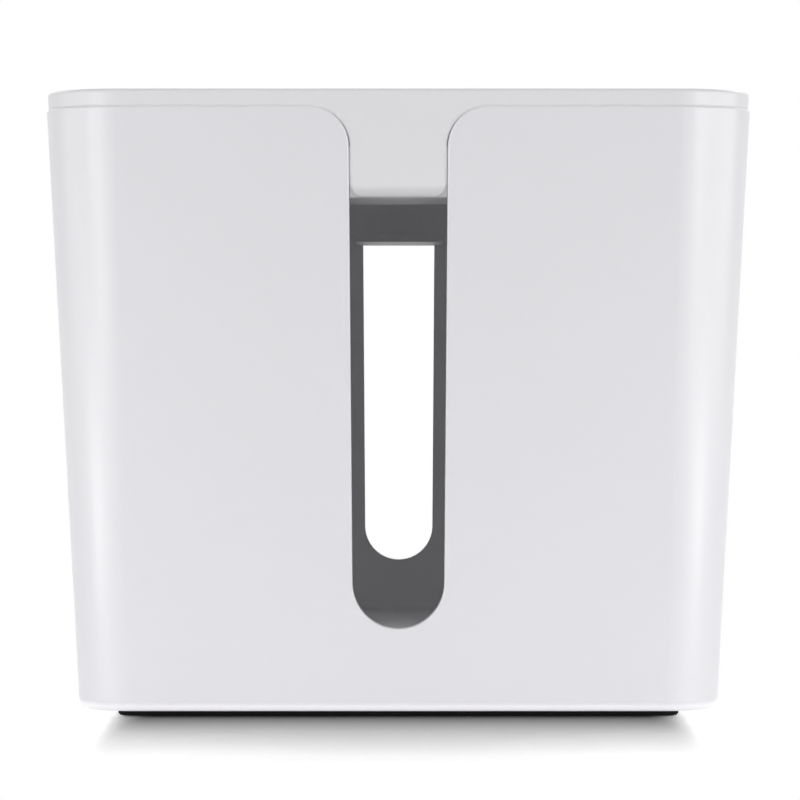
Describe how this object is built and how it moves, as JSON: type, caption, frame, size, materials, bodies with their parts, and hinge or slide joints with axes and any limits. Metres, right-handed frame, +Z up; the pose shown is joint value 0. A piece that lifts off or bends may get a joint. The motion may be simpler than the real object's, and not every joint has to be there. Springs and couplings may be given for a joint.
{
  "type": "cable management box",
  "caption": "Tapered open box for a power strip, with a cable slot down each end wall, a lift-off lid with tongues that close the slots' mouths, and rubber foot strips.",
  "frame": {"origin": "on the table, under the middle of the box: the centre of the bounding box's bottom face", "axes": "+Z up; +Y along the box's length towards the rear end wall, so that the pictured end faces -Y; +X across the width, to the right as seen in the picture"},
  "size_m": [0.13, 0.235, 0.1147],
  "materials": {
    "white_plastic": "satin moulded plastic with a very fine spark-eroded grain",
    "black_rubber": "matte"
  },
  "bodies": {
    "case": {"body_shell": "white_plastic", "front_foot_strip": "black_rubber", "rear_foot_strip": "black_rubber"},
    "lid": {"lid": "white_plastic"}
  },
  "joints": [
    {"name": "lid_lift", "type": "slide", "parent": "case", "child": "lid", "axis": [0, 0, 1], "range_m": [0, 0.05]}
  ]
}
